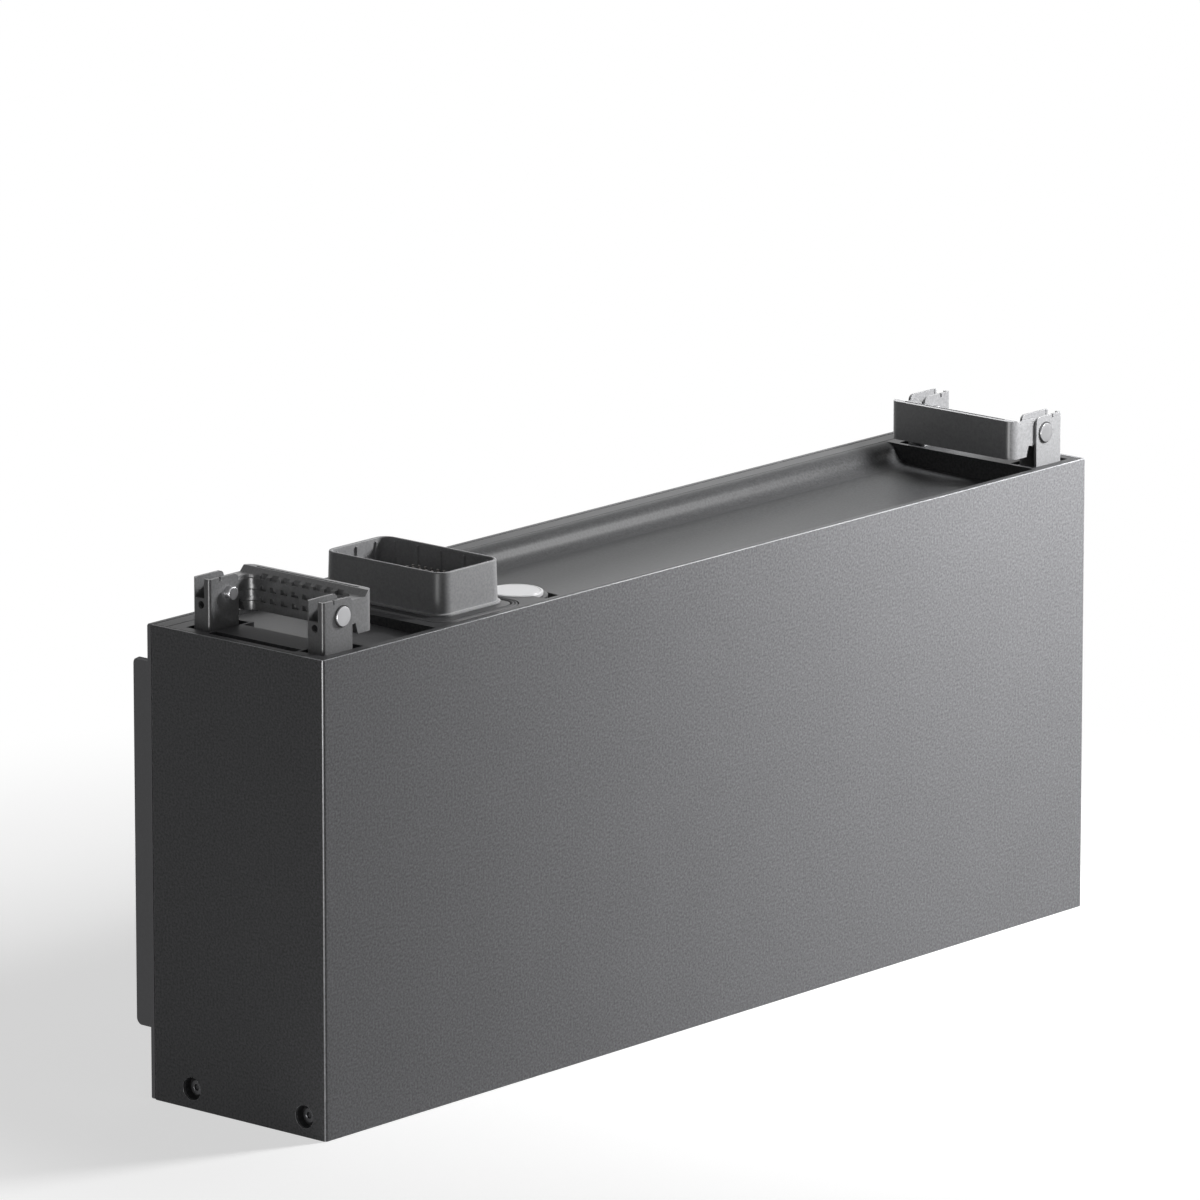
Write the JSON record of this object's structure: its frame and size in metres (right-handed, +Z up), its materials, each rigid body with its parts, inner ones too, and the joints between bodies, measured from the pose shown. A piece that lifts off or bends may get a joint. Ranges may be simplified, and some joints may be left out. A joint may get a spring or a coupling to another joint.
{
  "type": "home battery module",
  "caption": "Stackable home battery module: wide metal housing with finned rear plate, sunken top tray, folding carry handles in sheet brackets and a shrouded top connector.",
  "frame": {"origin": "under the middle of the whole part, on the flat bottom, midway between the front face and the outer edge of the rear fins", "axes": "+X along the width from the connector end to the far end, +Y from the front face to the finned rear, +Z up"},
  "size_m": [1, 0.225, 0.4535],
  "materials": {
    "base_metal": "matt dark coat",
    "board_blue": "blue circuit board",
    "board_green": "green circuit board",
    "bracket_zinc": "satin powder coat, light grey",
    "can_black": "dark moulded case",
    "cap_white": "white moulded plastic",
    "cast_alloy": "plain cast alloy",
    "cell_can": "blue film over an alloy can",
    "choke_core": "wound core in varnish",
    "contact_metal": "plated contact metal",
    "copper_bar": "bare copper",
    "cover_paint": "fine-grain matt powder coat, mid to dark grey",
    "handle_paint": "satin powder coat, light grey",
    "housing_paint": "fine-grain matt powder coat, mid grey",
    "lid_plastic": "pale insulating plastic",
    "membrane_white": "white felted membrane",
    "nylon_black": "dark nylon",
    "pad_soft": "soft heat-conducting pad",
    "rear_paint": "matt dark powder coat on a casting",
    "screw_steel": "plain bright steel",
    "seal_rubber": "soft black rubber",
    "sheet_steel": "plain zinc-coated sheet",
    "spacer_sheet": "pale insulating sheet"
  },
  "bodies": {
    "housing": {"shell": "housing_paint", "rear_plate": "rear_paint", "rear_seal": "seal_rubber", "rear_screws": "screw_steel", "rear_rail": "cover_paint", "top_cover": "cover_paint", "bracket_near_front": "bracket_zinc", "bracket_near_rear": "bracket_zinc", "bracket_far_front": "bracket_zinc", "bracket_far_rear": "bracket_zinc", "bracket_screws": "screw_steel", "pivots_near": "screw_steel", "pivots_far": "screw_steel", "pivot_washers": "nylon_black", "shroud": "cover_paint", "shroud_gasket": "seal_rubber", "contact_block": "nylon_black", "power_pins": "contact_metal", "signal_pins": "contact_metal", "vent_cap": "cap_white", "vent_membrane": "membrane_white", "stacking_screws": "screw_steel", "base_plate": "base_metal", "base_frame": "cast_alloy", "recess_near": "base_metal", "recess_far": "base_metal", "lower_connector": "nylon_black", "lower_contacts": "contact_metal", "cell_floor": "cast_alloy", "thermal_pad": "pad_soft", "cells": "cell_can", "cell_spacers": "spacer_sheet", "clamp_near": "cast_alloy", "clamp_far": "cast_alloy", "clamp_bands": "sheet_steel", "busbars": "copper_bar", "sense_board": "board_green", "cell_lid": "lid_plastic", "shelf": "sheet_steel", "end_frame_near": "cast_alloy", "end_frame_far": "cast_alloy", "standoffs": "screw_steel", "converter_board": "board_green", "chokes": "choke_core", "capacitors": "can_black", "heat_spreader": "cast_alloy", "contactors": "can_black", "main_fuse": "lid_plastic", "management_board": "board_blue", "riser_bars": "copper_bar", "wiring_looms": "nylon_black"},
    "near_handle": {"handle_near": "handle_paint"},
    "far_handle": {"handle_far": "handle_paint"}
  },
  "joints": [
    {"name": "near_handle_fold", "type": "hinge", "parent": "housing", "child": "near_handle", "pos_m": [-0.4602, -0.0245, 0.4383], "axis": [0, -1, 0], "range_deg": [0, 90]},
    {"name": "far_handle_fold", "type": "hinge", "parent": "housing", "child": "far_handle", "pos_m": [0.4602, -0.0245, 0.4383], "axis": [0, 1, 0], "range_deg": [0, 90]}
  ]
}
